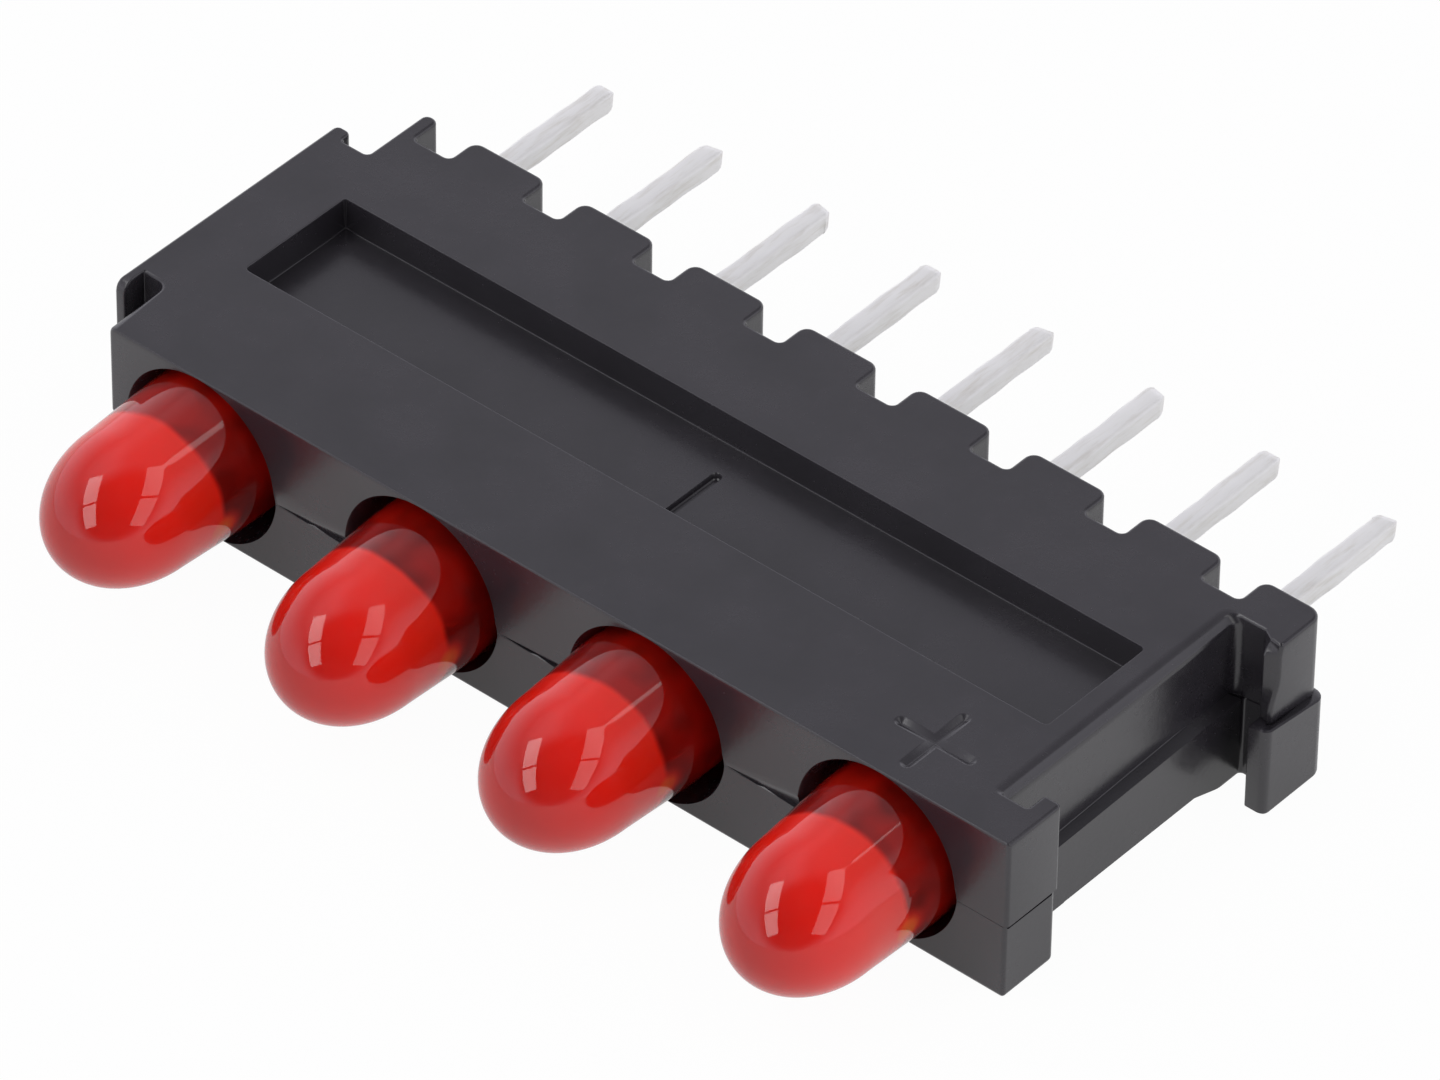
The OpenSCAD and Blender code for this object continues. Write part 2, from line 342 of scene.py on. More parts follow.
# Colours of the materials, as (place on a ramp, colour)
PLASTIC_TONES = [(0.3, (0.0205, 0.0185, 0.0225)), (0.7, (0.0285, 0.0255, 0.031))]
# Dome reds with painted shade: the red deepens towards the tip and the left side, where less light gathers
# in the epoxy
DOME_REDS_AND_SHADE = [
    (0.0, (0.99, 0.030, 0.014)),
    (0.2, (0.96, 0.026, 0.013)),
    (0.5, (0.78, 0.018, 0.010)),
    (0.64, (0.67, 0.015, 0.008)),
    (1.0, (0.41, 0.012, 0.008)),
]
# The foot's reds are painted shade of the bore around it, streaked by noise
FOOT_SHADE_REDS = [(0.38, (0.36, 0.008, 0.004)), (0.62, (0.68, 0.012, 0.005))]
# Painted glow at the foot of each LED, from red to orange
PAINTED_GLOW_REDS = [(0.3, (0.99, 0.03, 0.01)), (0.95, (0.99, 0.16, 0.02))]
# Tin tones; the darkest one also serves as painted shade on the leads inside the lens
TIN_TONES = [
    (0.0, (0.3, 0.29, 0.28)),
    (0.3, (0.8, 0.78, 0.73)),
    (0.5, (0.92, 0.915, 0.89)),
    (0.8, (0.95, 0.945, 0.93)),
]
DIE_TONES = [(0.35, (0.3, 0.26, 0.25)), (0.65, (0.42, 0.36, 0.33))]
GOLD_TONES = [(0.35, (0.85, 0.62, 0.22)), (0.65, (0.95, 0.74, 0.34))]

# Places in the materials; the bump's distance is in metres
GRAIN_BUMP = 0.00002
# Where the painted glow sits in each LED, and how far it spreads
GLOW_PLACE = (1.44, -0.95, MID - 0.25)
GLOW_RADIUS = 0.5
# Border between the foot, clearer and painted in shade, and the milky dome
MILKY_SHADE_TILT = 0.09
MILKY_SHADE_STIR = 0.2
MILKY_SHADE_BORDER = (-0.9, -1.06)
# Painted shade across the dome: its red deepens along this slant towards the tip and the left side
DOME_SHADE_SLANT = 0.5
DOME_SHADE_RANGE = (-0.8, -3.4)
# The lead is painted dark inside the lens, as painted shade that keeps highlights off it, up to just behind
# the lens
TIN_SHADE_FADE = 0.2

# Floor: it seems white to the camera, less so in reflections, and fades with the distance in metres
FLOOR_HALF = 1500
FLOOR_THICK = 2
FLOOR_CLEAR = 0.002
FLOOR_SEEN = 0.97
FLOOR_MIRRORED = 0.6
FLOOR_FADE = (0.02, 0.13)
FLOOR_FAR = 0.7

# Studio tent: brightness by the sine of the elevation, with two darker places at (azimuth, elevation)
SKY_LEVELS = [(0.0, 1.2), (0.3, 1.05), (0.65, 0.53), (0.85, 0.88)]
SKY_TINT = (0.98, 0.97, 1.06)
OPENING_AT = (42, 45)
OPENING_EDGE = (0.52, 0.82)
OPENING_LEVEL = 0.12
REAR_AT = (165, 60)
REAR_EDGE = (0.78, 0.97)
REAR_LEVEL = 0.5

# Soft boxes: name, (azimuth, elevation) of both ends, radiance; their sizes are in metres
STRIPS = [
    ("strip_left", (11, 21), (-66, 60), 3.0),
    ("strip_right", (70, 15), (145, 60), 1.5),
]
LAMP_AIM = Vector((0, 0, 0.002))
LAMP_DISTANCE = 0.3
LAMP_WIDTH = 0.1
LAMP_SEAM = 0.014

# Camera, fitted to the photograph
CAMERA_AZIMUTH = 40.22
CAMERA_ELEVATION = 40.73
CAMERA_ROLL = 0.77
CAMERA_TARGET = (0, 4.5, 1.827)
CAMERA_RIGHT = 0.254
CAMERA_DOWN = 0.423
CAMERA_DISTANCE = 210.4
CAMERA_LENS = 306.9
SENSOR_WIDTH = 36
CLIP_NEAR = 0.01
CLIP_FAR = 10


# Mesh helpers


def new_piece(name, mesh_builder):
    """Make an object from a bmesh in millimetres."""
    bm = bmesh.new()
    mesh_builder(bm)
    bmesh.ops.scale(bm, vec=(MM, MM, MM), verts=bm.verts)
    bmesh.ops.recalc_face_normals(bm, faces=bm.faces)
    mesh = bpy.data.meshes.new(name)
    bm.to_mesh(mesh)
    bm.free()
    piece = bpy.data.objects.new(name, mesh)
    bpy.context.scene.collection.objects.link(piece)
    return piece


def smooth(piece, angle, weighted=True):
    """Shade smooth across soft edges only, with flat faces kept flat."""
    mesh = piece.data
    mesh.shade_smooth()
    mesh.set_sharp_from_angle(angle=math.radians(angle))
    if weighted:
        modifier = piece.modifiers.new("flat faces", "WEIGHTED_NORMAL")
        modifier.keep_sharp = True
        modifier.weight = FLAT_WEIGHT


def combine(piece, tool, operation):
    """Subtract tool from piece or join it to piece, and delete it."""
    modifier = piece.modifiers.new("combine", "BOOLEAN")
    modifier.operation = operation
    modifier.solver = "EXACT"
    modifier.object = tool
    graph = bpy.context.evaluated_depsgraph_get()
    result = bpy.data.meshes.new_from_object(piece.evaluated_get(graph))
    piece.modifiers.clear()
    old = piece.data
    piece.data = result
    bpy.data.meshes.remove(old)
    mesh = tool.data
    bpy.data.objects.remove(tool)
    bpy.data.meshes.remove(mesh)


def cut(piece, name, cutter_builder):
    """Cut a shape out of piece."""
    combine(piece, new_piece(name, cutter_builder), "DIFFERENCE")


def union_piece(name, builders):
    """One closed skin around overlapping shapes."""
    piece = new_piece(name, builders[0])
    for builder in builders[1:]:
        combine(piece, new_piece("shape", builder), "UNION")
    return piece


def loft(bm, rings):
    """Skin rings of points, each (x, y, z), and cap both ends."""
    loops = [[bm.verts.new(point) for point in ring] for ring in rings]
    count = len(loops[0])
    for low, high in zip(loops, loops[1:]):
        for k in range(count):
            bm.faces.new((low[k], low[(k + 1) % count], high[(k + 1) % count], high[k]))
    bm.faces.new(list(reversed(loops[0])))
    bm.faces.new(loops[-1])


def lathe(bm, profile, centre, segments):
    """Turn a profile of (y, r) points about the Y axis through centre, with closed ends."""
    rings = []
    for y, r in profile:
        ring = []
        for k in range(segments):
            a = 2 * math.pi * k / segments
            ring.append((centre[0] + r * math.cos(a), centre[1] + y, centre[2] + r * math.sin(a)))
        rings.append(ring)
    loft(bm, rings)


def quarter(radius, steps):
    """Points (inset, rise) of a quarter round, from the face's edge to the wall."""
    points = []
    for k in range(steps + 1):
        a = math.pi / 2 * k / steps
        points.append((radius * (1 - math.sin(a)), radius * (1 - math.cos(a))))
    return points


def rounded(corners, inset, steps=CORNER_STEPS):
    """Points of a closed outline of corners (x, y, radius, edge share), moved inwards by inset.

    The share scales the inset of the edge that starts at that corner, so that thin fingers keep a core.
    """
    count = len(corners)
    points = [Vector(c[:2]) for c in corners]
    ways = [(points[(i + 1) % count] - points[i]).normalized() for i in range(count)]
    moved = []
    for i in range(count):
        before, after = ways[i - 1], ways[i]
        a = points[i] + Vector((-before.y, before.x)) * inset * corners[i - 1][3]
        b = points[i] + Vector((-after.y, after.x)) * inset * corners[i][3]
        turn = before.cross(after)
        moved.append(a + before * ((b - a).cross(after) / turn))
    outline = []
    for i in range(count):
        before, after = ways[i - 1], ways[i]
        convex = before.cross(after) > 0
        turn = before.angle(after)
        radius = corners[i][2] - inset if convex else corners[i][2] + inset
        room = min((moved[i] - moved[i - 1]).length, (moved[(i + 1) % count] - moved[i]).length)
        radius = max(CORNER_LEAST, min(radius, CORNER_ROOM * room / math.tan(turn / 2)))
        start = moved[i] - before * radius * math.tan(turn / 2)
        side = Vector((-before.y, before.x)) * (1 if convex else -1)
        centre = start + side * radius
        for k in range(steps + 1):
            a = turn * k / steps
            outline.append(centre - side * radius * math.cos(a) + before * radius * math.sin(a))
    return outline


def rectangle(low, high, radius, shares=(1, 1, 1, 1)):
    """Corners of a rectangle between two points, for an outline with rounded corners."""
    return [
        (low[0], low[1], radius, shares[0]),
        (high[0], low[1], radius, shares[1]),
        (high[0], high[1], radius, shares[2]),
        (low[0], high[1], radius, shares[3]),
    ]


def smooth_box(bm, low, high, edge):
    """A box with rounded edges along Y and small rounds at both ends."""
    corners = rectangle((low[0], low[2]), (high[0], high[2]), edge)
    end = quarter(edge * BOX_END_SHARE, BOX_END_STEPS)
    places = [(inset, low[1] + rise) for inset, rise in end]
    places += [(inset, high[1] - rise) for inset, rise in reversed(end)]
    rings = []
    for inset, y in places:
        rings.append([(p.x, y, p.y) for p in rounded(corners, inset, BOX_CORNER_STEPS)])
    loft(bm, rings)


# Housing

Half = namedtuple(
    "Half",
    "front right wall lip pillar front_share foot_share bar_round recess_round hook_round",
)
UPPER_HALF = Half(
    front=0,
    right=FRONT_RIGHT,
    wall=WALL_UPPER,
    lip=PILLAR_LIP_IN,
    pillar=PILLAR_UPPER,
    front_share=FRONT_EDGE_SHARE,
    foot_share=1,
    bar_round=0.1,
    recess_round=0.2,
    hook_round=0.08,
)
LOWER_HALF = Half(
    front=FRONT_STEP,
    right=FRONT_RIGHT - LOWER_STEP,
    wall=WALL_LOWER,
    lip=PILLAR_LIP_IN + PILLAR_LIP_STEP,
    pillar=PILLAR_LOWER + PILLAR_EXTRA,
    front_share=1,
    foot_share=PILLAR_FOOT_SHARE,
    bar_round=0.14,
    recess_round=0.06,
    hook_round=0.16,
)


def half_corners(half, nose, hook, wall_out=0.0, wall_share=1.0, end_share=1.0, z=0.0):
    """Corners of one mould half in plan, anticlockwise from the front left.

    The rear lip on the right has its inner corner at nose, an (x, y) point, and its outer one at hook.
    wall_out and wall_share move the wall of the recess and scale its edge; end_share scales the edge of the
    front bar's right end. Near the top z, the left end is rounded off.
    """
    left = FRONT_LEFT + top_round(z, LEFT_ROUND)
    tongue = TONGUE_LEFT + TONGUE_ROUND_SHARE * top_round(z, LEFT_ROUND)
    finger = FINGER_FRONT + top_round(z, FINGER_ROUND)
    wall = half.wall + wall_out
    corners = [
        (left, half.front, FRONT_ROUND, half.front_share),
        (half.right, half.front, SMALL_ROUND, end_share),
        (half.right, BAR_DEPTH, half.bar_round, 1),
        (LIP_IN, BAR_DEPTH, SMALL_ROUND, 1),
        (LIP_IN, BAR_INNER, FINE_ROUND, 1),
        (wall, BAR_INNER, SMALL_ROUND, wall_share),
        (wall, PILLAR_FRONT, half.recess_round, 1),
        (half.lip, PILLAR_FRONT, FINE_ROUND, half.foot_share),
        (*nose, NOSE_ROUND, half.foot_share),
        (half.pillar, hook, half.hook_round, half.foot_share),
        (half.pillar, BODY_DEPTH, PILLAR_ROUND, 1),
    ]
    for k in reversed(range(LEAD_COUNT)):
        slot_left = FIRST_SLOT + k * LEAD_PITCH - SLOT_WIDTH / 2
        slot_right = slot_left + SLOT_WIDTH
        corners += [
            (slot_right, BODY_DEPTH, TOOTH_ROUND, 1),
            (slot_right, TOOTH_ROOT, SLOT_ROUND, 1),
            (slot_left, TOOTH_ROOT, SLOT_ROUND, 1),
            (slot_left, BODY_DEPTH, TOOTH_ROUND, 1),
        ]
    corners += [
        (END_TOOTH_LEFT, BODY_DEPTH, TOOTH_ROUND, 1),
        (END_TOOTH_LEFT, REAR_SLOT_FLOOR, REAR_SLOT_ROUND, 1),
        (REAR_FINGER_IN, REAR_SLOT_FLOOR, SMALL_ROUND, REAR_FINGER_SHARE),
        (REAR_FINGER_IN, REAR_FINGER_END, REAR_FINGER_ROUND, REAR_FINGER_SHARE),
        (tongue, REAR_FINGER_END, REAR_FINGER_ROUND, FINGER_EDGE_SHARE),
        (tongue, finger, FINGER_CORNER, FINGER_EDGE_SHARE),
        (FINGER_IN, finger, FINE_ROUND, FINGER_EDGE_SHARE),
        (FINGER_IN, SLOT_FLOOR, SLOT_CORNER, 1),
        (FRONT_LEFT, SLOT_FLOOR, BAR_LEFT_ROUND, 1),
    ]
    return corners


def top_round(z, radius):
    """How far a face falls back at height z, where its top edge is rounded off."""
    climb = min(TOP_ROUND_LIMIT, max(0, (z - BODY_HEIGHT) / radius + 1))
    return radius * (1 - math.sqrt(1 - climb * climb))


def ease(value, start, end):
    """A smooth step from 0 at start to 1 at end."""
    share = min(1, max(0, (value - start) / (end - start)))
    return share * share * (3 - 2 * share)


def lip_rise(point):
    """How far the parting line climbs on the rear lip on the right, towards its front and its outside."""
    if point.y < BODY_DEPTH / 2:
        return 0
    outward = min(1, max(0, (point.x - WALL_LOWER) / (PILLAR_UPPER - WALL_LOWER)))
    return PILLAR_RISE * outward * (BODY_DEPTH - point.y) / (BODY_DEPTH - LOWER_HOOK)


def on_ledge(point):
    """1 on the right side of the rear lip on the right, where its lower half stands proud."""
    side = ease(point.x, PILLAR_UPPER - LEDGE_SIDE[0], PILLAR_UPPER - LEDGE_SIDE[1])
    rear = ease(point.y, BODY_DEPTH - LEDGE_REAR[0], BODY_DEPTH - LEDGE_REAR[1])
    return side * (1 - rear)


def on_end(point):
    """1 on the right end of the front bar, where the mould halves leave a gap."""
    if point.x < LIP_IN + END_GAP_INSIDE:
        return 0
    rear = ease(point.y, BAR_DEPTH - END_GAP_REAR[0], BAR_DEPTH - END_GAP_REAR[1])
    return ease(point.y, *END_GAP_FRONT) * (1 - rear)


def parting(point):
    """Height of the parting line: lower along the front bar, higher on the right recess and its rear lip."""
    drop = PARTING_DROP * (1 - ease(point.y, BAR_DEPTH, BAR_DEPTH + DROP_FADE))
    past_bar = ease(point.y, BAR_INNER + LEDGE_START, BAR_INNER + LEDGE_FULL)
    in_recess = past_bar * (1 - ease(point.y, PILLAR_HOOK, PILLAR_FRONT))
    on_wall = 1 - ease(point.x, WALL_LOWER, WALL_LOWER + WALL_BLEND)
    right = 1 if point.x > 0 else 0
    return MID - drop + (LEDGE_RISE + drop) * in_recess * on_wall * right + lip_rise(point)


def upper_corners(share, wall_out, wall_share=1.0, end_share=1.0):
    """Corners of the upper half at a share of its height, where its rear lip leans back."""
    hook = PILLAR_HOOK + HOOK_LEAN * ease(share, *HOOK_LEAN_SHARES)
    reach = NOSE_LENGTH * (1 - NOSE_FADE * ease(share, *NOSE_FADE_SHARES))
    nose = (PILLAR_UPPER - NOSE_WIDTH, PILLAR_FRONT - reach)
    return half_corners(UPPER_HALF, nose, hook, wall_out, wall_share, end_share, MID + share * MID)


def body_shape(bm):
    """The two mould halves as one skin, with a fine groove at the parting line."""
    lower_nose = (LOWER_HALF.lip + LOWER_NOSE_STEP, LOWER_HOOK)
    lower = half_corners(LOWER_HALF, lower_nose, LOWER_HOOK)
    lower_groove = half_corners(LOWER_HALF, lower_nose, LOWER_HOOK, wall_share=0, end_share=END_GAP_SHARE)
    upper_groove = upper_corners(0, WALL_FILLET, 0, END_GAP_SHARE)
    rings = []

    def flat_ring(corners, inset, z):
        rings.append([(p.x, p.y, z) for p in rounded(corners, inset)])

    def parting_ring(corners, inset, offset, sink=0.0, gap=0.0):
        points = []
        for p in rounded(corners, inset):
            points.append((p.x, p.y, parting(p) + offset - sink * on_ledge(p) - gap * on_end(p)))
        rings.append(points)

    for inset, rise in quarter(FOOT_EDGE, EDGE_STEPS):
        flat_ring(lower, inset, rise)
    parting_ring(lower, 0, -PARTING_HALF, gap=END_GAP)
    parting_ring(lower_groove, PARTING_DEPTH, -PARTING_FLOOR, gap=END_GAP)
    parting_ring(upper_groove, PARTING_DEPTH, PARTING_FLOOR, sink=LEDGE_SINK)
    for out, rise in quarter(WALL_FILLET, EDGE_STEPS):
        parting_ring(upper_corners(0, out), 0, PARTING_HALF + rise)
    for share in (*UPPER_SHARES, 1 - WALL_ROUND_HEIGHT / MID):
        flat_ring(upper_corners(share, 0), 0, MID + share * MID)
    middle = 1 - (1 - WALL_ROUND_MIDDLE) * WALL_ROUND_HEIGHT / MID
    flat_ring(upper_corners(middle, -WALL_ROUND_MIDDLE * WALL_ROUND_START), 0, MID + middle * MID)
    for inset, rise in reversed(quarter(TOP_EDGE, EDGE_STEPS)):
        z = BODY_HEIGHT - rise
        flat_ring(upper_corners(z / MID - 1, -WALL_ROUND_START, WALL_EDGE_SHARE), inset, z)
    loft(bm, rings)


def pocket_cutter(bm):
    """Pocket with a rounded floor, slightly sloping walls and a rounded rim."""
    front_left = (-POCKET_HALF, POCKET_FRONT)
    rear_right = (POCKET_HALF, POCKET_FRONT + POCKET_WIDTH)
    corners = rectangle(front_left, rear_right, POCKET_ROUND, POCKET_RIM_SHARES)
    steps = []
    for inset, rise in quarter(POCKET_FLOOR_ROUND, EDGE_STEPS):
        steps.append((POCKET_SLOPE + inset, POCKET_FLOOR + rise))
    for k in range(EDGE_STEPS + 1):
        a = math.pi / 2 * k / EDGE_STEPS
        steps.append((-POCKET_RIM * (1 - math.cos(a)), BODY_HEIGHT - POCKET_RIM + POCKET_RIM * math.sin(a)))
    steps.append((-POCKET_RIM, BODY_HEIGHT + CUT_OVER))
    loft(bm, [[(p.x, p.y, z) for p in rounded(corners, inset)] for inset, z in steps])


def bore_cutters(bm):
    """Bores for the feet of the LEDs: wider in the lower half, and cut flat at a thin web below."""
    steps = (
        (-CUT_OVER, BORE_RIM + CUT_OVER),
        (BORE_RIM, 0),
        (BORE_TAPER_END, -BORE_TAPER),
        (BORE_DEPTH, -BORE_TAPER),
    )
    for x in LED_X:
        rings = []
        for y, grow in steps:
            ring = []
            for k in range(LENS_SEGMENTS):
                a = 2 * math.pi * k / LENS_SEGMENTS
                low = ease(-math.sin(a), -BORE_BLEND, BORE_BLEND)
                radius = BORE_RADIUS + (BORE_FOOT_RADIUS - BORE_RADIUS) * low + grow
                ring.append((x + radius * math.cos(a), y, max(BORE_WEB, MID + radius * math.sin(a))))
            rings.append(ring)
        loft(bm, rings)


def wedge_cutters(bm):
    """Slivers along the parting line between the LEDs, where the mould halves don't quite meet."""
    for x, rise in zip(LED_X, WEDGE_RISES):
        rings = []
        for along, share in ((WEDGE_START, WEDGE_TIP_SHARE), (LED_PITCH - WEDGE_STOP, 1.0)):
            depth, height = WEDGE_DEPTH * share, rise * share
            z = MID - WEDGE_START_DROP - (WEDGE_END_DROP - WEDGE_START_DROP) * share
            top = z + height * (1 + WEDGE_OUTSIDE / depth)
            section = ((-WEDGE_OUTSIDE, z), (depth, z), (-WEDGE_OUTSIDE, top))
            rings.append([(x + along, y, level) for y, level in section])
        loft(bm, rings)


def hole_cutters(bm):
    """Square holes for the leads, from the bores to the slots."""
    half = HOLE_SIDE / 2
    for x in LED_X:
        for side in (-1, 1):
            centre = x + side * LEAD_PITCH / 2
            low = (centre - half, BORE_DEPTH - HOLE_LAP, MID - half)
            high = (centre + half, TOOTH_ROOT + HOLE_LAP, MID + half)
            smooth_box(bm, low, high, CUT_EDGE)


def under_cutter(bm):
    """Shallow space under the body, between its two feet."""
    section = [
        (UNDER_START - UNDER_SLOPE, -CUT_BELOW),
        (REAR_SLOT_FLOOR + UNDER_SLOPE, -CUT_BELOW),
        (REAR_SLOT_FLOOR + UNDER_SLOPE, UNDER_LIP),
        (REAR_SLOT_FLOOR - UNDER_RAMP, UNDER_RISE),
        (UNDER_START, UNDER_RISE),
    ]
    ends = (TONGUE_LEFT - CUT_SIDE, PILLAR_LOWER + CUT_SIDE)
    loft(bm, [[(x, y, z) for y, z in section] for x in ends])


def end_relief_cutter(bm):
    """The same space carried on to the front bar at the right end, beside the last bore."""
    low = (LED_X[-1] + BORE_FOOT_RADIUS + RELIEF_SIDE, BAR_DEPTH + RELIEF_FRONT, -CUT_BELOW)
    high = (PILLAR_LOWER + CUT_SIDE, UNDER_START + RELIEF_LAP, UNDER_RISE - RELIEF_SINK)
    smooth_box(bm, low, high, CUT_EDGE)


def groove(bm, start, end, z, width, depth, section):
    """A trough with round ends between two points of a face at height z."""
    start, end = Vector(start), Vector(end)
    way = (end - start).normalized()
    side = Vector((-way.y, way.x))
    half = width / 2
    rings = []
    for level, share in section:
        height = z + (level if level > 0 else level * depth)
        ring = []
        for centre, first in ((end, -90), (start, 90)):
            for k in range(STROKE_STEPS + 1):
                a = math.radians(first + 180 * k / STROKE_STEPS)
                point = centre + (way * math.cos(a) + side * math.sin(a)) * half * share
                ring.append((point.x, point.y, height))
        rings.append(ring)
    loft(bm, rings)


def mark_strokes():
    """The strokes of the plus and the dash, each as groove takes them."""
    plus_x = LED_X[-1] + MARK_SHIFT
    reach = (PLUS_LENGTH - PLUS_WIDTH) / 2
    plus = (BODY_HEIGHT, PLUS_WIDTH, PLUS_DEPTH, V_STROKE)
    dash = (POCKET_FLOOR, DASH_WIDTH, DASH_DEPTH, U_STROKE)
    return [
        ((plus_x - reach, PLUS_PLACE), (plus_x + reach, PLUS_PLACE), *plus),
        ((plus_x, PLUS_PLACE - reach), (plus_x, PLUS_PLACE + reach), *plus),
        ((MARK_SHIFT, POCKET_FRONT + DASH_START), (MARK_SHIFT, POCKET_FRONT + DASH_END), *dash),
    ]


def make_housing():
    """The moulded housing, in place of its CAD solid."""
    piece = new_piece("housing_moulding", body_shape)
    cut(piece, "holes", hole_cutters)
    cut(piece, "under", under_cutter)
    cut(piece, "end_relief", end_relief_cutter)
    cut(piece, "wedges", wedge_cutters)
    cut(piece, "pocket", pocket_cutter)
    for stroke in mark_strokes():
        cut(piece, "stroke", lambda bm: groove(bm, *stroke))
    cut(piece, "bores", bore_cutters)
    smooth(piece, MOULDED_ANGLE)
    return piece


# LEDs


def lens_profile():
    """Outline of the cast lens as (y, r) points, from its foot to its tip."""
    collar_front = BORE_DEPTH - COLLAR_LENGTH
    profile = [
        (LENS_FOOT, COLLAR_RADIUS - COLLAR_EDGE),
        (LENS_FOOT - COLLAR_EDGE, COLLAR_RADIUS),
        (collar_front + COLLAR_FRONT_EDGE, COLLAR_RADIUS),
        (collar_front, COLLAR_RADIUS - COLLAR_CORNER),
        (collar_front - COLLAR_FILLET, LENS_RADIUS + COLLAR_FILLET),
        (collar_front - COLLAR_EDGE, LENS_RADIUS),
        (0, LENS_RADIUS),
    ]
    for k in range(1, STRAIGHT_STEPS):
        share = k / STRAIGHT_STEPS
        profile.append((-LENS_STRAIGHT * share, LENS_RADIUS + (DOME_RADIUS - LENS_RADIUS) * share))
    for k in range(DOME_STEPS):
        a = math.pi / 2 * k / DOME_STEPS
        profile.append((-LENS_STRAIGHT - DOME_LENGTH * math.sin(a), DOME_RADIUS * math.cos(a)))
    profile.append((-LENS_STRAIGHT - DOME_LENGTH, LENS_TIP_RADIUS))
    return profile


def make_lens(i):
    """The cast red body of LED i, leaning a little in its bore."""
    shift_x, shift_z, lean_x, lean_z = LENS_SEATS[i]

    def shape(bm):
        lathe(bm, lens_profile(), (LED_X[i] + shift_x, 0, MID + shift_z), LENS_SEGMENTS)
        for vertex in bm.verts:
            vertex.co.x -= lean_x * vertex.co.y
            vertex.co.z -= lean_z * vertex.co.y

    return new_piece("led_body_%d" % (i + 1), shape)


def lead_wave(y, variant):
    """How far the wire's sides fall back at y: tinning leaves them slightly wavy behind the teeth."""
    wave = sum(math.sin(rate * y + shift * variant) for rate, shift in WAVES)
    fade = ease(y, TOOTH_ROOT, TOOTH_ROOT + WAVE_FADE)
    return LEAD_WAVE * fade * (WAVE_MEAN + wave / 2)


def lead_wire(bm, x, variant):
    """Square tinned wire with soft edges and a sheared tip."""
    half = LEAD_SIDE / 2
    corners = rectangle((x - half, MID - half), (x + half, MID + half), LEAD_EDGE)
    rings = [[(p.x, LEAD_START, p.y) for p in rounded(corners, 0, LEAD_CORNER_STEPS)]]
    for k in range(LEAD_RINGS):
        y = TOOTH_ROOT + (LEAD_TIP - TIP_LENGTH - TOOTH_ROOT) * k / (LEAD_RINGS - 1)
        outline = rounded(corners, lead_wave(y, variant), LEAD_CORNER_STEPS)
        rings.append([(p.x, y, p.y) for p in outline])
    skew = TIP_SKEW * math.sin(TIP_TURN * variant)
    for back, inset in TIP_ROUND:
        ring = []
        for p in rounded(corners, inset, LEAD_CORNER_STEPS):
            shear = skew * (p.x - x) + TIP_TILT * (p.y - MID)
            ring.append((p.x, LEAD_TIP - back - TIP_BACK + shear, p.y))
        rings.append(ring)
    loft(bm, rings)


def make_leads(i):
    """The anode and the cathode lead of LED i, with their stamped heads."""
    x = LED_X[i]

    def head(left, front, right, back, half):
        low = (x + left, front, MID - half)
        high = (x + right, back, MID + half)
        return lambda bm: smooth_box(bm, low, high, HEAD_EDGE)

    anode = [
        lambda bm: lead_wire(bm, x + LEAD_PITCH / 2, 2 * i + 1),
        head(POST_IN, POST_FRONT, POST_OUT, HEAD_END, HEAD_HALF),
        head(LAP_POST_IN, HEAD_FRONT, HEAD_REACH, LAP_END, LAP_HALF),
    ]
    cathode = [
        lambda bm: lead_wire(bm, x - LEAD_PITCH / 2, 2 * i),
        head(-HEAD_REACH, HEAD_FRONT, STEM_IN, HEAD_END, HEAD_HALF),
        head(STEM_OUT, 0, LAP_STEM_IN, STEM_END, LAP_HALF),
        lambda bm: lathe(bm, CUP_PROFILE, (x, 0, MID), CUP_SEGMENTS),
    ]
    return (
        union_piece("anode_wire_%d" % (i + 1), anode),
        union_piece("cathode_wire_%d" % (i + 1), cathode),
    )


# Materials


class Nodes:
    """A short way to add nodes to a material or world and link them."""

    def __init__(self, owner):
        self.tree = owner.node_tree
        self.tree.nodes.clear()

    def add(self, kind, inputs=None, **settings):
        """Add a node; each input is linked to a socket or set to a value."""
        node = self.tree.nodes.new("ShaderNode" + kind)
        for key, value in settings.items():
            setattr(node, key, value)
        for key, value in (inputs or {}).items():
            if isinstance(value, bpy.types.NodeSocket):
                self.tree.links.new(value, node.inputs[key])
            else:
                node.inputs[key].default_value = value
        return node

    def ramp(self, source, stops):
        """Colours along a ramp, given as (place, colour)."""
        node = self.add("ValToRGB", {"Fac": source})
        elements = node.color_ramp.elements
        while len(elements) < len(stops):
            elements.new(0.5)
        for element, (place, colour) in zip(elements, stops):
            element.position = place
            element.color = (*colour, 1)
        return node.outputs["Color"]

    def millimetres(self):
        """Object coordinates in millimetres."""
        place = self.add("TexCoord").outputs["Object"]
        return self.add("Mapping", {"Vector": place, "Scale": (1 / MM,) * 3}).outputs["Vector"]


def new_material(name):
    """An empty material and its nodes."""
    material = bpy.data.materials.new(name)
    material.use_nodes = True
    return material, Nodes(material)


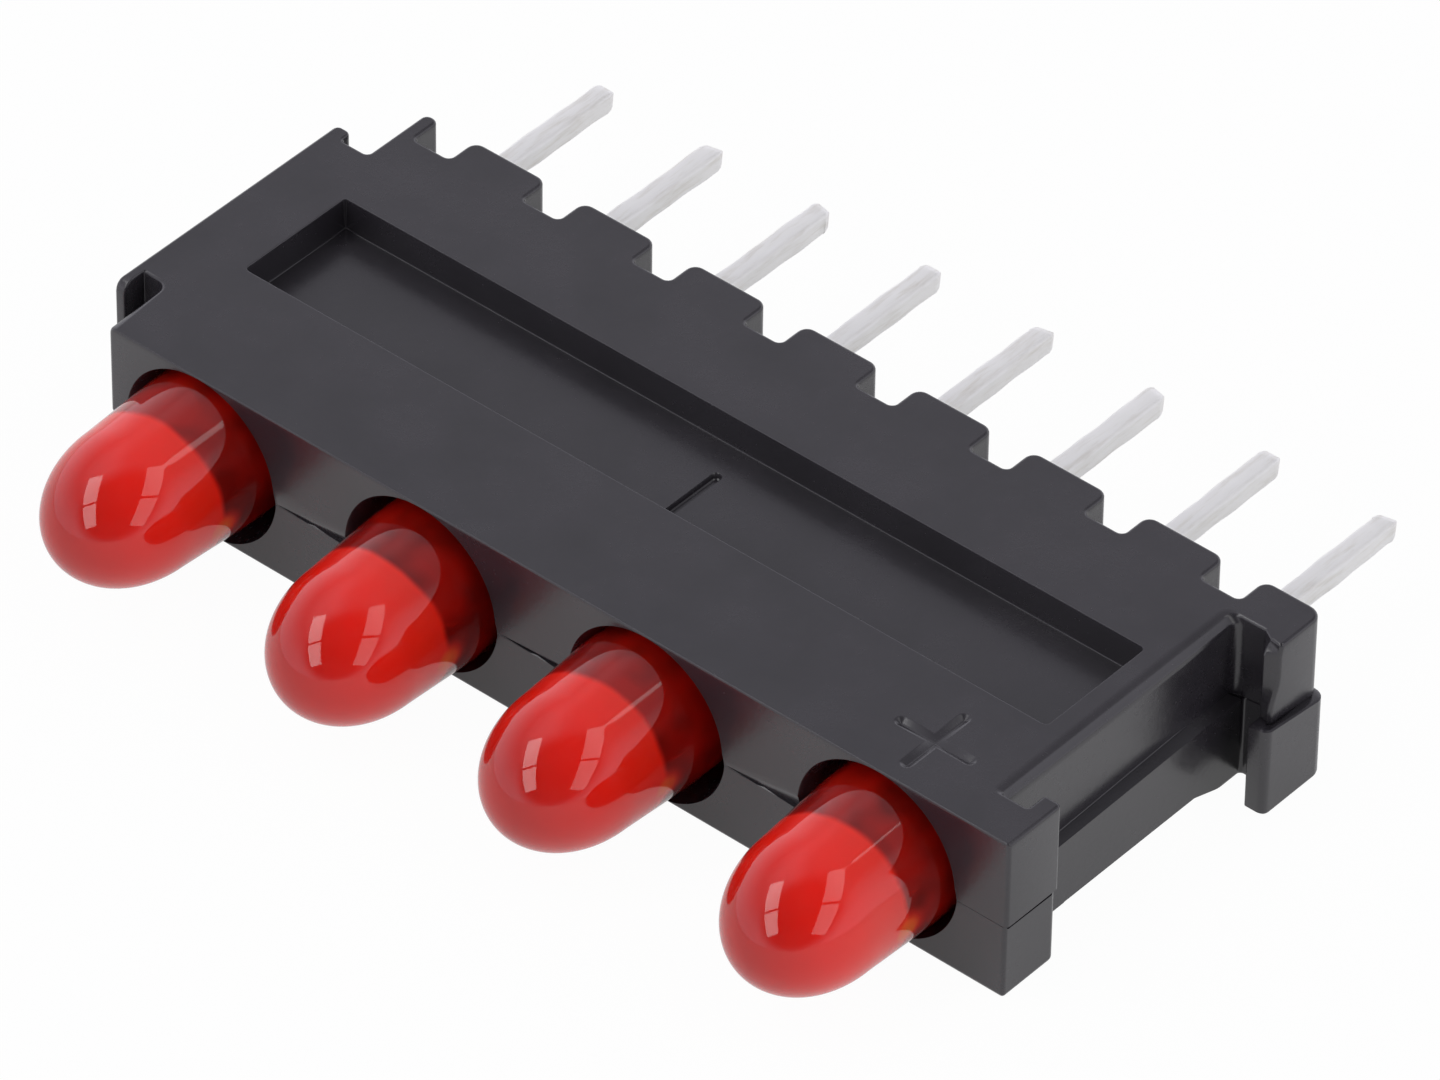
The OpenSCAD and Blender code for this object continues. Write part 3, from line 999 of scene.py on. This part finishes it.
def housing_material():
    """Black moulded plastic: satin, with fine grain and faint flow marks."""
    material, n = new_material("black_moulded_plastic")
    place = n.millimetres()
    grain = n.add("TexNoise", {"Vector": place, "Scale": 9.0, "Detail": 4.0, "Roughness": 0.6})
    flow = n.add("TexNoise", {"Vector": place, "Scale": 0.55, "Detail": 3.0, "Roughness": 0.55})
    colour = n.ramp(flow.outputs["Fac"], PLASTIC_TONES)
    rough_mix = n.add("Math", {0: flow.outputs["Fac"], 1: grain.outputs["Fac"]}, operation="ADD")
    rough = n.add(
        "MapRange",
        {"Value": rough_mix.outputs[0], "From Min": 0.6, "From Max": 1.4, "To Min": 0.2, "To Max": 0.3},
    )
    bump = n.add("Bump", {"Strength": 0.12, "Distance": GRAIN_BUMP, "Height": grain.outputs["Fac"]})
    shader = n.add(
        "BsdfPrincipled",
        {
            "Base Color": colour,
            "Roughness": rough.outputs["Result"],
            "Normal": bump.outputs["Normal"],
            "IOR": 1.62,
        },
    )
    n.add("OutputMaterial", {"Surface": shader.outputs[0]})
    return material


def led_place(n):
    """Coordinates in millimetres, with X counted from the axis of the nearest LED."""
    split = n.add("SeparateXYZ", {"Vector": n.millimetres()})
    shifted = n.add("Math", {0: split.outputs["X"], 1: -LED_X[0]}, operation="ADD")
    local_x = n.add("Math", {0: shifted.outputs[0], 1: LED_PITCH / 2, 2: -LED_PITCH / 2}, operation="WRAP")
    return n.add(
        "CombineXYZ",
        {"X": local_x.outputs[0], "Y": split.outputs["Y"], "Z": split.outputs["Z"]},
    ).outputs[0]


def painted_foot_glow(n, place):
    """Painted glow: an orange spot painted at the right of each LED's foot, standing in for light that its
    epoxy gathers there.
    """
    apart = n.add("VectorMath", {0: place, 1: GLOW_PLACE}, operation="DISTANCE")
    glow = n.add(
        "MapRange",
        {
            "Value": apart.outputs["Value"],
            "From Min": 0.0,
            "From Max": GLOW_RADIUS,
            "To Min": 1.0,
            "To Max": 0.0,
        },
        interpolation_type="SMOOTHSTEP",
    )
    return glow.outputs["Result"]


def milky_and_shade_share(n, split):
    """0 in the clear foot of each LED and 1 in its milky dome, with a slightly stirred border; the same
    share lays the foot's painted shade against the dome's red.
    """
    cloud = n.add("TexNoise", {"Vector": n.millimetres(), "Scale": 0.9, "Detail": 2.0})
    level = n.add(
        "Math",
        {0: split.outputs["X"], 1: -MILKY_SHADE_TILT, 2: split.outputs["Y"]},
        operation="MULTIPLY_ADD",
    )
    stir = n.add(
        "Math",
        {0: cloud.outputs["Fac"], 1: MILKY_SHADE_STIR, 2: level.outputs[0]},
        operation="MULTIPLY_ADD",
    )
    share = n.add(
        "MapRange",
        {"Value": stir.outputs[0], "From Min": MILKY_SHADE_BORDER[0], "From Max": MILKY_SHADE_BORDER[1]},
        interpolation_type="SMOOTHSTEP",
    )
    return share.outputs["Result"]


def dome_red_and_shade(n, split):
    """Red of the milky dome with painted shade: deeper towards its tip and its left side, lighter towards
    its right.
    """
    level = n.add(
        "Math",
        {0: split.outputs["X"], 1: DOME_SHADE_SLANT, 2: split.outputs["Y"]},
        operation="MULTIPLY_ADD",
    )
    outward = n.add(
        "MapRange",
        {"Value": level.outputs[0], "From Min": DOME_SHADE_RANGE[0], "From Max": DOME_SHADE_RANGE[1]},
    )
    return n.ramp(outward.outputs["Result"], DOME_REDS_AND_SHADE)


def lens_material():
    """Red cast epoxy: milky in its dome, clearer towards its foot, under a smooth glossy skin; its red
    carries painted shade in the foot and towards the dome's tip, and a painted glow at the foot.
    """
    material, n = new_material("red_cast_epoxy")
    place = led_place(n)
    split = n.add("SeparateXYZ", {"Vector": place})
    # This share sets both the clearer foot and where its painted shade gives way to the dome
    milky = milky_and_shade_share(n, split)
    streak = n.add("TexNoise", {"Vector": n.millimetres(), "Scale": 1.1, "Detail": 1.5})
    foot_shade_red = n.ramp(streak.outputs["Fac"], FOOT_SHADE_REDS)
    red = n.add("MixRGB", {"Fac": milky, "Color1": foot_shade_red, "Color2": dome_red_and_shade(n, split)})
    glow = painted_foot_glow(n, place)
    painted_glow_red = n.ramp(glow, PAINTED_GLOW_REDS)
    glow_share = n.add("MapRange", {"Value": glow, "From Max": 0.6})
    colour = n.add(
        "MixRGB",
        {"Fac": glow_share.outputs["Result"], "Color1": red.outputs["Color"], "Color2": painted_glow_red},
    )
    foot_clear = n.add("MapRange", {"Value": glow, "From Max": 0.7, "To Min": 0.48, "To Max": 0.1})
    clear = n.add(
        "MapRange",
        {"Value": milky, "To Min": foot_clear.outputs["Result"], "To Max": 0.01},
    )
    shader = n.add(
        "BsdfPrincipled",
        {
            "Base Color": colour.outputs["Color"],
            "Roughness": 0.03,
            "IOR": 1.55,
            "Transmission Weight": clear.outputs["Result"],
            "Subsurface Weight": 1.0,
            "Subsurface Radius": (1.0, 0.2, 0.1),
            "Subsurface Scale": 0.003,
        },
    )
    n.add("OutputMaterial", {"Surface": shader.outputs[0]})
    return material


def lead_material():
    """Bright tin plating with soft streaks along the wire, painted dark as shade inside the lens so that it
    catches no highlights there.
    """
    material, n = new_material("tin_plated_wire")
    place = n.millimetres()
    stretched = n.add("Mapping", {"Vector": place, "Scale": (3.0, 0.35, 3.0)})
    streak = n.add(
        "TexNoise",
        {"Vector": stretched.outputs[0], "Scale": 3.0, "Detail": 5.0, "Roughness": 0.6},
    )
    along = n.add("SeparateXYZ", {"Vector": place}).outputs["Y"]
    # Painted shade: 0 inside the lens, where the tin is painted dark, rising to 1 just behind it
    sealed = n.add(
        "MapRange",
        {"Value": along, "From Min": LENS_FOOT, "From Max": LENS_FOOT + TIN_SHADE_FADE},
    )
    tone = n.add("Math", {0: streak.outputs["Fac"], 1: sealed.outputs["Result"]}, operation="MULTIPLY")
    colour = n.ramp(tone.outputs[0], TIN_TONES)
    rough = n.add(
        "MapRange",
        {"Value": tone.outputs[0], "From Min": 0.1, "From Max": 0.4, "To Min": 0.6, "To Max": 0.4},
    )
    bump = n.add("Bump", {"Strength": 0.2, "Distance": GRAIN_BUMP, "Height": streak.outputs["Fac"]})
    shader = n.add(
        "BsdfPrincipled",
        {
            "Base Color": colour,
            "Metallic": 0.3,
            "Roughness": rough.outputs["Result"],
            "Normal": bump.outputs["Normal"],
        },
    )
    n.add("OutputMaterial", {"Surface": shader.outputs[0]})
    return material


def inner_material(name, tones, metallic, roughness):
    """A small sealed piece, with slight mottling."""
    material, n = new_material(name)
    mottle = n.add("TexNoise", {"Vector": n.millimetres(), "Scale": 12.0, "Detail": 3.0})
    shader = n.add(
        "BsdfPrincipled",
        {
            "Base Color": n.ramp(mottle.outputs["Fac"], tones),
            "Metallic": metallic,
            "Roughness": roughness,
        },
    )
    n.add("OutputMaterial", {"Surface": shader.outputs[0]})
    return material


def floor_material():
    """White floor that reads as a white background and keeps a soft shadow."""
    material, n = new_material("white_floor")
    path = n.add("LightPath")
    mirrored = n.add(
        "Math",
        {0: path.outputs["Is Glossy Ray"], 1: path.outputs["Is Transmission Ray"]},
        operation="MAXIMUM",
    )
    seen = n.add("Math", {0: path.outputs["Is Camera Ray"], 1: FLOOR_SEEN}, operation="MULTIPLY")
    share = n.add(
        "Math",
        {0: mirrored.outputs[0], 1: FLOOR_MIRRORED, 2: seen.outputs[0]},
        operation="MULTIPLY_ADD",
    )
    paper = n.add("BsdfDiffuse", {"Color": (0.86, 0.86, 0.86, 1)})
    away = n.add("VectorMath", {0: n.add("TexCoord").outputs["Object"]}, operation="LENGTH")
    fade = n.add(
        "MapRange",
        {
            "Value": away.outputs["Value"],
            "From Min": FLOOR_FADE[0],
            "From Max": FLOOR_FADE[1],
            "To Min": 1.0,
            "To Max": FLOOR_FAR,
        },
        interpolation_type="SMOOTHERSTEP",
    )
    white = n.add("Emission", {"Color": (1, 1, 1, 1), "Strength": fade.outputs["Result"]})
    mixed = n.add("MixShader", {0: share.outputs[0], 1: paper.outputs[0], 2: white.outputs[0]})
    n.add("OutputMaterial", {"Surface": mixed.outputs[0]})
    return material


def paint(piece, material):
    """Give a piece this one material."""
    piece.data.materials.clear()
    piece.data.materials.append(material)


# Stage


def make_floor():
    """A plain white floor just under the part."""
    corners = (
        (-FLOOR_HALF, -FLOOR_HALF),
        (FLOOR_HALF, -FLOOR_HALF),
        (FLOOR_HALF, FLOOR_HALF),
        (-FLOOR_HALF, FLOOR_HALF),
    )
    levels = (-FLOOR_THICK, -FLOOR_CLEAR)
    floor = new_piece("floor", lambda bm: loft(bm, [[(x, y, z) for x, y in corners] for z in levels]))
    paint(floor, floor_material())


def direction(azimuth, elevation):
    """Unit vector towards a place seen from the part; azimuth 0 is -Y and 90 is +X."""
    a, e = math.radians(azimuth), math.radians(elevation)
    return Vector((math.sin(a) * math.cos(e), -math.cos(a) * math.cos(e), math.sin(e)))


def strip_lamp(name, foot, head, radiance):
    """A long soft box that runs from one (azimuth, elevation) to another, in two panels with a seam."""
    low, high = direction(*foot), direction(*head)
    back = (low + high).normalized()
    along = (high - low).normalized()
    across = along.cross(back)
    axes = Matrix((across, along, back)).transposed().to_4x4()
    span = 2 * LAMP_DISTANCE * math.tan(low.angle(high) / 2)
    length = (span - LAMP_SEAM) / 2
    for side in (-1, 1):
        lamp = bpy.data.lights.new(name, "AREA")
        lamp.shape = "RECTANGLE"
        lamp.size = LAMP_WIDTH
        lamp.size_y = length
        lamp.energy = radiance * math.pi * LAMP_WIDTH * length
        holder = bpy.data.objects.new(name, lamp)
        bpy.context.scene.collection.objects.link(holder)
        centre = LAMP_AIM + back * LAMP_DISTANCE + along * side * (length + LAMP_SEAM) / 2
        holder.matrix_world = Matrix.Translation(centre) @ axes


def darker_place(n, place, at, edge, level):
    """1 over most of the studio tent, falling to level around one (azimuth, elevation)."""
    facing = n.add("VectorMath", {0: place, 1: direction(*at)}, operation="DOT_PRODUCT")
    share = n.add(
        "MapRange",
        {
            "Value": facing.outputs["Value"],
            "From Min": edge[0],
            "From Max": edge[1],
            "To Min": 1.0,
            "To Max": level,
        },
        interpolation_type="SMOOTHSTEP",
    )
    return share.outputs["Result"]


def make_world():
    """A pale studio tent, darker behind the part and at an opening on the photographer's side."""
    world = bpy.data.worlds.new("studio")
    bpy.context.scene.world = world
    world.use_nodes = True
    n = Nodes(world)
    place = n.add("TexCoord").outputs["Generated"]
    height = n.add("SeparateXYZ", {"Vector": place}).outputs["Z"]
    tone = n.ramp(height, [(at, [level * c for c in SKY_TINT]) for at, level in SKY_LEVELS])
    opening = darker_place(n, place, OPENING_AT, OPENING_EDGE, OPENING_LEVEL)
    rear = darker_place(n, place, REAR_AT, REAR_EDGE, REAR_LEVEL)
    strength = n.add("Math", {0: opening, 1: rear}, operation="MULTIPLY")
    sky = n.add("Background", {"Color": tone, "Strength": strength.outputs[0]})
    n.add("OutputWorld", {"Surface": sky.outputs[0]})


def make_camera():
    """The photograph's viewpoint."""
    back = direction(CAMERA_AZIMUTH, CAMERA_ELEVATION)
    level = Vector((0, 0, 1)).cross(back).normalized()
    upright = back.cross(level)
    roll = math.radians(CAMERA_ROLL)
    right = level * math.cos(roll) + upright * math.sin(roll)
    up = upright * math.cos(roll) - level * math.sin(roll)
    aim = Vector(CAMERA_TARGET) + right * CAMERA_RIGHT - up * CAMERA_DOWN
    place = (aim + back * CAMERA_DISTANCE) * MM
    camera = bpy.data.cameras.new("camera")
    camera.sensor_width = SENSOR_WIDTH
    camera.lens = CAMERA_LENS
    camera.clip_start = CLIP_NEAR
    camera.clip_end = CLIP_FAR
    holder = bpy.data.objects.new("camera", camera)
    bpy.context.scene.collection.objects.link(holder)
    axes = Matrix((right, up, back)).transposed().to_4x4()
    holder.matrix_world = Matrix.Translation(place) @ axes
    bpy.context.scene.camera = holder


# Pieces

plastic = housing_material()
epoxy = lens_material()
tin = lead_material()
die = inner_material("led_die", DIE_TONES, metallic=0.0, roughness=0.3)
gold = inner_material("gold_wire", GOLD_TONES, metallic=1.0, roughness=0.25)

housing = make_housing()
paint(housing, plastic)
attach(housing, "root")
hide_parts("housing")

for i in range(LED_COUNT):
    number = i + 1
    lens = make_lens(i)
    smooth(lens, LED_ANGLE, weighted=False)
    paint(lens, epoxy)
    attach(lens, "root")
    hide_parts("led_lens_%d" % number)
    for kind, lead in zip(("anode", "cathode"), make_leads(i)):
        smooth(lead, LED_ANGLE)
        paint(lead, tin)
        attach(lead, "root")
        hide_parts("%s_lead_%d" % (kind, number))
    paint(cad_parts["led_chip_%d" % number], die)
    paint(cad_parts["bond_wire_%d" % number], gold)

make_floor()
make_world()
for strip in STRIPS:
    strip_lamp(*strip)
make_camera()
bpy.context.scene.view_settings.view_transform = "Standard"
